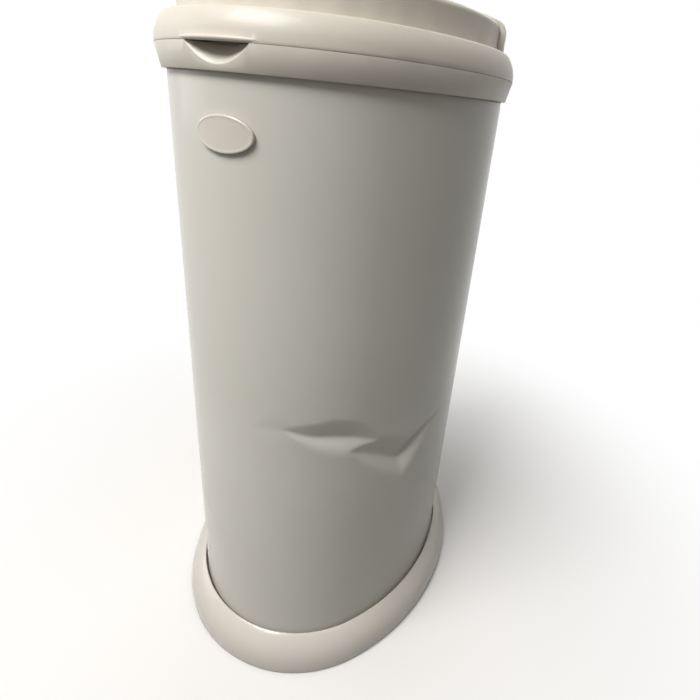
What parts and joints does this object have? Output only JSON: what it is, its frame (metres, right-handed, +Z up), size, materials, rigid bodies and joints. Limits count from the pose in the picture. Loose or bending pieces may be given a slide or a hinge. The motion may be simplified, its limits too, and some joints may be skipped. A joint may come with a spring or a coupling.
{
  "type": "nappy bin",
  "caption": "Oval steel nappy bin with a moulded base ring, a hinged domed lid, a hatch that slides back under a rear hood, and a plain oval badge.",
  "frame": {"origin": "on the floor, at the centre of the oval footprint", "axes": "+Z up; the front, with the badge and the finger scoop, faces -Y; +X is to the right seen from the front"},
  "size_m": [0.282, 0.342, 0.574],
  "materials": {
    "base_plastic": "glossy injection moulding, slightly whiter than the body",
    "rubber": "soft matt rubber",
    "coated_steel": "warm light grey powder coat, smooth and glossy",
    "inner_plastic": "satin moulding, out of sight",
    "screw_steel": "zinc-plated steel",
    "badge_plastic": "glossy, plain face",
    "collar_plastic": "glossy warm grey moulding",
    "lid_plastic": "glossy warm grey moulding",
    "lock_plastic": "darker satin moulding",
    "seal_rubber": "dark grey soft rubber"
  },
  "bodies": {
    "bin": {"base": "base_plastic", "feet": "rubber", "body_shell": "coated_steel", "floor_plate": "inner_plastic", "tray_spacers": "inner_plastic", "tray_screws": "screw_steel", "badge": "badge_plastic", "badge_clips": "screw_steel", "collar": "collar_plastic", "hinge_pin": "screw_steel", "ring_hinge_pin": "screw_steel"},
    "lid": {"lid": "lid_plastic", "lid_seal": "seal_rubber", "keeper": "lock_plastic", "hood": "lid_plastic", "hood_screws": "screw_steel", "hatch_seal": "seal_rubber"},
    "hatch": {"hatch": "lid_plastic", "hatch_shoes": "inner_plastic", "grip": "lid_plastic", "grip_screws": "screw_steel"},
    "lock": {"lock_slider": "lock_plastic"},
    "bag_ring": {"bag_ring": "inner_plastic"}
  },
  "joints": [
    {"name": "lid_hinge", "type": "hinge", "parent": "bin", "child": "lid", "pos_m": [0, 0.1652, 0.5187], "axis": [-1, 0, 0], "range_deg": [0, 95]},
    {"name": "hatch_slide", "type": "slide", "parent": "lid", "child": "hatch", "axis": [0, 1, 0], "range_m": [0, 0.104]},
    {"name": "child_lock_slide", "type": "slide", "parent": "hatch", "child": "lock", "axis": [1, 0, 0], "range_m": [0, 0.009]},
    {"name": "bag_ring_hinge", "type": "hinge", "parent": "bin", "child": "bag_ring", "pos_m": [0, 0.135, 0.5181], "axis": [-1, 0, 0], "range_deg": [0, 42.75]}
  ],
  "couplings": [
    {"joint": "bag_ring_hinge", "follows": "lid_hinge", "ratio": 0.45}
  ]
}
